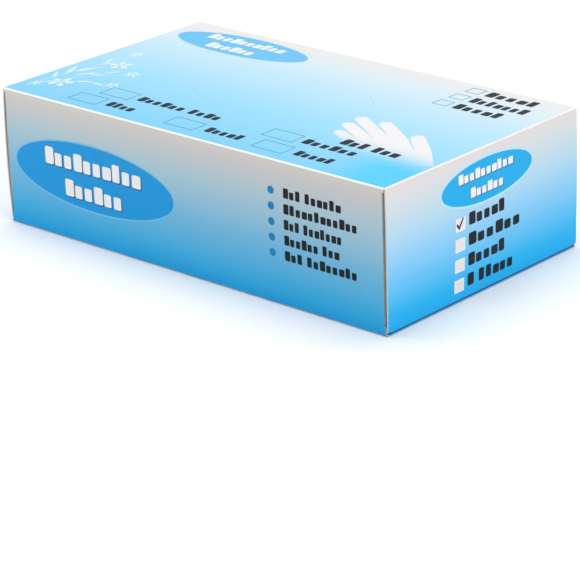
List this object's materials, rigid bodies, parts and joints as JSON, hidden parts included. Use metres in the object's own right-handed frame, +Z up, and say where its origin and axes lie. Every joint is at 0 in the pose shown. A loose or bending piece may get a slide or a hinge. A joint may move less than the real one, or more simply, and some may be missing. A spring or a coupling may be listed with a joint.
{
  "type": "disposable glove dispenser carton",
  "caption": "Straight-tuck paperboard dispenser carton with a tear-out top window, creased end closures and dust flaps, filled with layers of folded disposable gloves.",
  "frame": {"origin": "middle of the closed carton's footprint, on the surface it stands on", "axes": "+X along the long side towards the right tuck end, +Y from the front panel to the back panel, +Z up"},
  "size_m": [0.21, 0.12, 0.06],
  "materials": {
    "printed_side": "coated print",
    "printed_top": "coated print",
    "printed_end": "coated print",
    "plain_board": "uncoated",
    "black_nitrile": "matte"
  },
  "bodies": {
    "carton": {"front_panel": "printed_side", "back_panel": "printed_side", "top_panel": "printed_top", "bottom_panel": "printed_end", "glue_flap": "plain_board", "glove_layer_01": "black_nitrile", "glove_layer_02": "black_nitrile", "glove_layer_03": "black_nitrile", "glove_layer_04": "black_nitrile", "glove_layer_05": "black_nitrile", "glove_layer_06": "black_nitrile", "glove_layer_07": "black_nitrile", "glove_layer_08": "black_nitrile", "glove_layer_09": "black_nitrile", "glove_layer_10": "black_nitrile"},
    "window_cover": {"window_cover": "printed_top"},
    "right_closure": {"right_closure": "printed_end"},
    "right_tuck_flap": {"right_tuck_flap": "printed_end"},
    "right_front_dust_flap": {"right_front_dust_flap": "plain_board"},
    "right_back_dust_flap": {"right_back_dust_flap": "plain_board"},
    "left_closure": {"left_closure": "printed_end"},
    "left_tuck_flap": {"left_tuck_flap": "printed_end"},
    "left_front_dust_flap": {"left_front_dust_flap": "plain_board"},
    "left_back_dust_flap": {"left_back_dust_flap": "plain_board"}
  },
  "joints": [
    {"name": "window_lift", "type": "slide", "parent": "carton", "child": "window_cover", "axis": [0, 0, 1], "range_m": [0, 0.08]},
    {"name": "right_closure_crease", "type": "hinge", "parent": "carton", "child": "right_closure", "pos_m": [0.105, 0, 0.06], "axis": [0, -1, 0], "range_deg": [0, 170]},
    {"name": "right_tuck_crease", "type": "hinge", "parent": "right_closure", "child": "right_tuck_flap", "pos_m": [0.105, 0, 0.0008], "axis": [0, -1, 0], "range_deg": [0, 42.5]},
    {"name": "right_front_dust_crease", "type": "hinge", "parent": "carton", "child": "right_front_dust_flap", "pos_m": [0.1042, -0.06, 0.03], "axis": [0, 0, -1], "range_deg": [0, 85]},
    {"name": "right_back_dust_crease", "type": "hinge", "parent": "carton", "child": "right_back_dust_flap", "pos_m": [0.1042, 0.06, 0.03], "axis": [0, 0, 1], "range_deg": [0, 85]},
    {"name": "left_closure_crease", "type": "hinge", "parent": "carton", "child": "left_closure", "pos_m": [-0.105, 0, 0.06], "axis": [0, 1, 0], "range_deg": [0, 170]},
    {"name": "left_tuck_crease", "type": "hinge", "parent": "left_closure", "child": "left_tuck_flap", "pos_m": [-0.105, 0, 0.0008], "axis": [0, 1, 0], "range_deg": [0, 42.5]},
    {"name": "left_front_dust_crease", "type": "hinge", "parent": "carton", "child": "left_front_dust_flap", "pos_m": [-0.1042, -0.06, 0.03], "axis": [0, 0, 1], "range_deg": [0, 85]},
    {"name": "left_back_dust_crease", "type": "hinge", "parent": "carton", "child": "left_back_dust_flap", "pos_m": [-0.1042, 0.06, 0.03], "axis": [0, 0, -1], "range_deg": [0, 85]}
  ],
  "couplings": [
    {"joint": "right_tuck_crease", "follows": "right_closure_crease", "ratio": 0.25},
    {"joint": "right_front_dust_crease", "follows": "right_closure_crease", "ratio": 0.5},
    {"joint": "right_back_dust_crease", "follows": "right_closure_crease", "ratio": 0.5},
    {"joint": "left_tuck_crease", "follows": "left_closure_crease", "ratio": 0.25},
    {"joint": "left_front_dust_crease", "follows": "left_closure_crease", "ratio": 0.5},
    {"joint": "left_back_dust_crease", "follows": "left_closure_crease", "ratio": 0.5}
  ]
}
